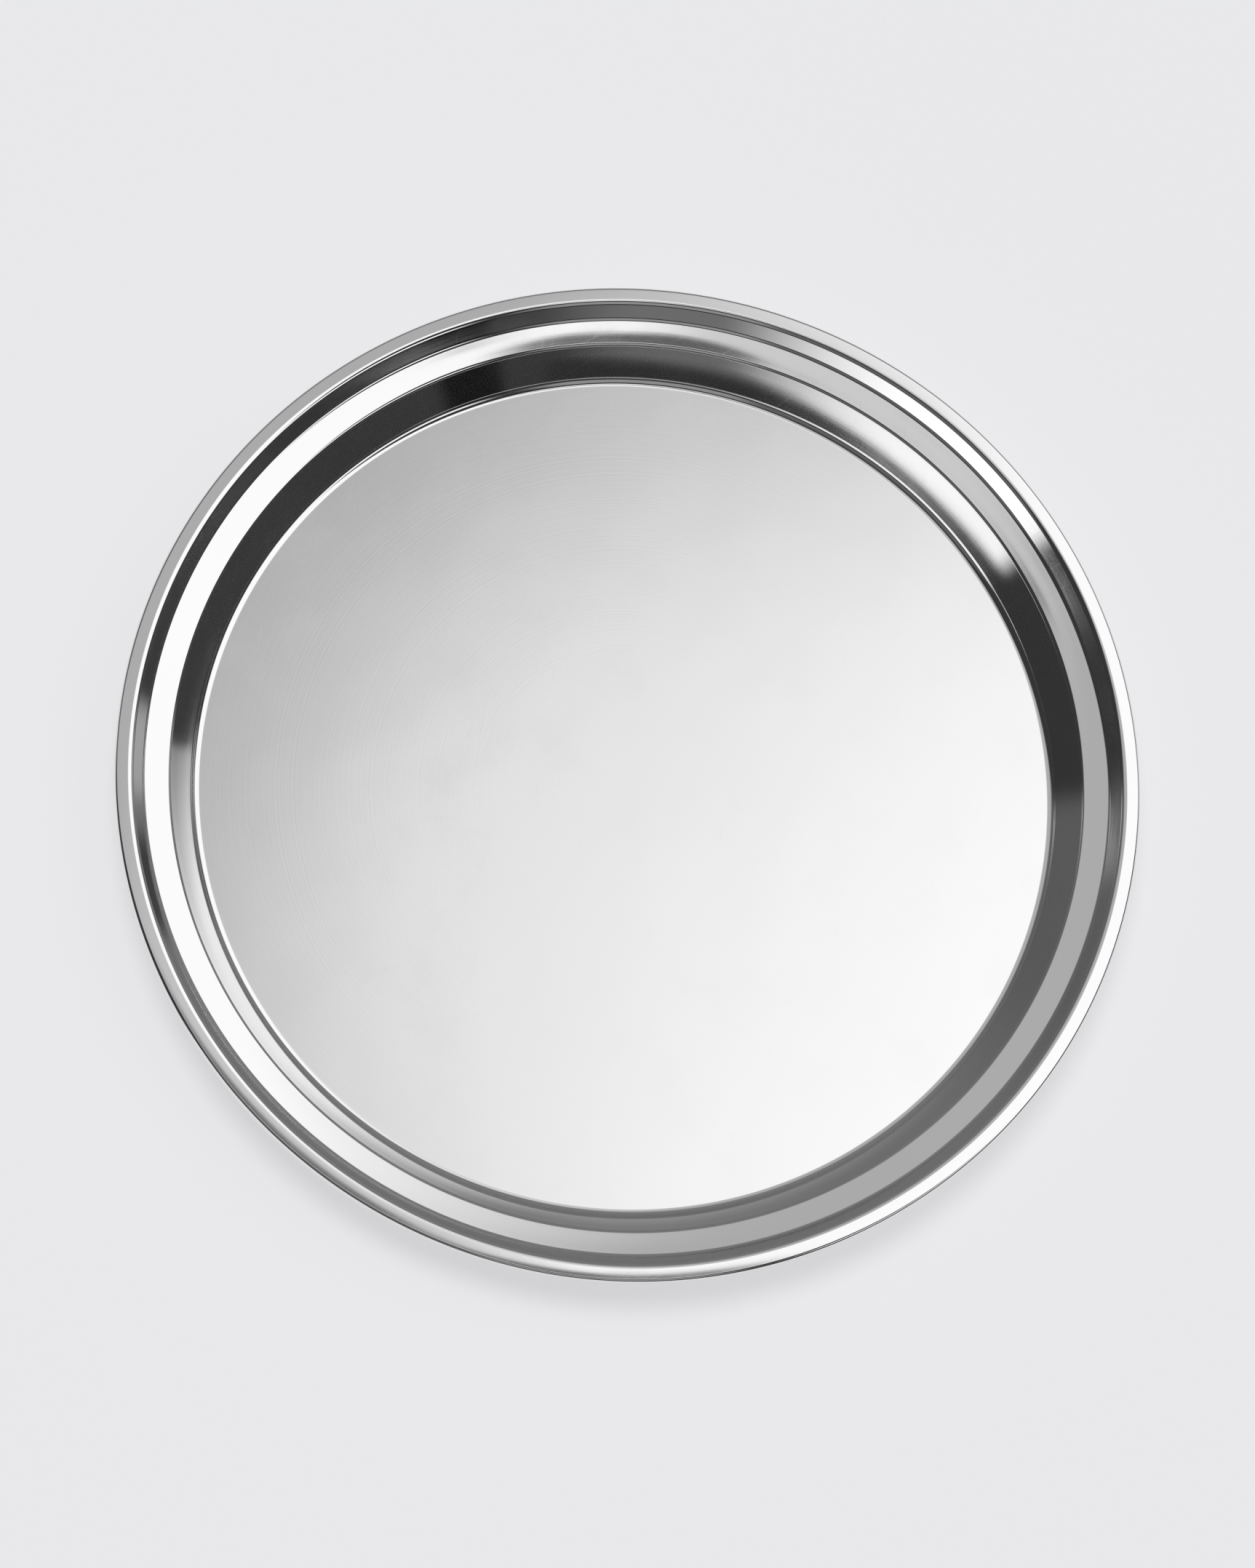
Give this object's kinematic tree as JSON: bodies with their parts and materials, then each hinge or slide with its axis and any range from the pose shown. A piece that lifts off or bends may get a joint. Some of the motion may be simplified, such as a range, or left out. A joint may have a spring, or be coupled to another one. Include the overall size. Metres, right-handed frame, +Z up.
{
  "type": "round serving tray",
  "caption": "Round shallow serving tray of polished stainless steel, with a flat floor, a stepped wall and a rolled rim.",
  "frame": {"origin": "centre of the tray's underside, on the surface it stands on", "axes": "+Z up along the axis that the tray is turned about; X and Y lie in the floor's plane and are interchangeable"},
  "size_m": [0.35, 0.35, 0.023],
  "materials": {
    "polished_steel": "polished"
  },
  "bodies": {
    "root": {"tray_body": "polished_steel"}
  },
  "joints": []
}
